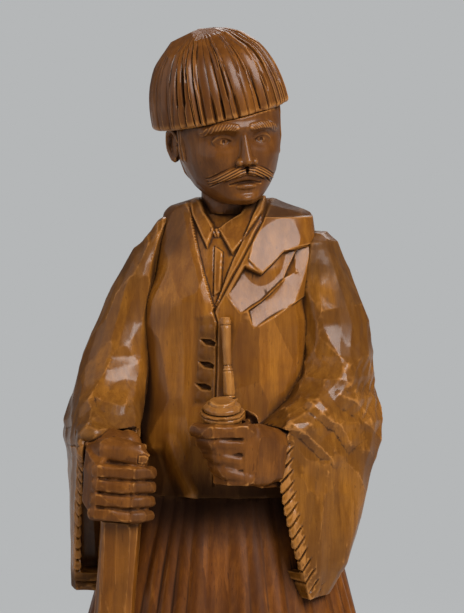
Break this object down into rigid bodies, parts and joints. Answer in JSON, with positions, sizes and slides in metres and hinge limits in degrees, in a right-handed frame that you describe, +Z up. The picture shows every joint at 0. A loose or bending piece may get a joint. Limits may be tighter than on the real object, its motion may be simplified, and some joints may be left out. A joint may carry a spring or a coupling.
{
  "type": "carved wooden figure",
  "caption": "Carved and stained wooden herdsman with a fur hat, vest, wide sleeves and pleated trousers on a plinth; the staff turns in the fist and the pipe lifts out of the hand.",
  "frame": {"origin": "middle of the plinth's flat underside", "axes": "+Z up along the figure, the figure faces -Y, +X is the figure's left (the side of the pipe)"},
  "size_m": [0.134, 0.122, 0.3199],
  "materials": {
    "hat_wood": "satin varnish over brown stain",
    "head_wood": "satin varnish over brown stain",
    "vest_wood": "satin varnish over brown stain",
    "sleeve_wood": "satin varnish over brown stain",
    "hand_wood": "satin varnish over brown stain",
    "trouser_wood": "satin varnish over brown stain",
    "boot_wood": "satin varnish over brown stain",
    "staff_wood": "satin varnish over brown stain",
    "pipe_wood": "satin varnish over brown stain",
    "plinth_wood": "satin varnish over brown stain",
    "dowel_wood": "bare",
    "screw_steel": "bright"
  },
  "bodies": {
    "figure": {"plinth": "plinth_wood", "base_screw_left": "screw_steel", "base_screw_right": "screw_steel", "boot_left": "boot_wood", "boot_right": "boot_wood", "trousers": "trouser_wood", "waist_dowel_left": "dowel_wood", "waist_dowel_right": "dowel_wood", "vest_torso": "vest_wood", "shoulder_dowel_left": "dowel_wood", "shoulder_dowel_right": "dowel_wood", "sleeve_left": "sleeve_wood", "sleeve_right": "sleeve_wood", "wrist_dowel_left": "dowel_wood", "wrist_dowel_right": "dowel_wood", "hand_left": "hand_wood", "hand_right": "hand_wood", "neck_dowel": "dowel_wood", "head": "head_wood", "hat_peg": "dowel_wood", "fur_hat": "hat_wood"},
    "staff": {"staff": "staff_wood"},
    "pipe": {"pipe_bowl": "pipe_wood", "pipe_lid": "pipe_wood", "pipe_stem": "pipe_wood"}
  },
  "joints": [
    {"name": "staff_turn", "type": "hinge", "parent": "figure", "child": "staff", "pos_m": [-0.03175, -0.04283, 0.1735], "axis": [0.0712, 0.0264, 0.9971], "continuous": true},
    {"name": "pipe_lift", "type": "slide", "parent": "figure", "child": "pipe", "axis": [0, 0, 1], "range_m": [0, 0.03]}
  ]
}
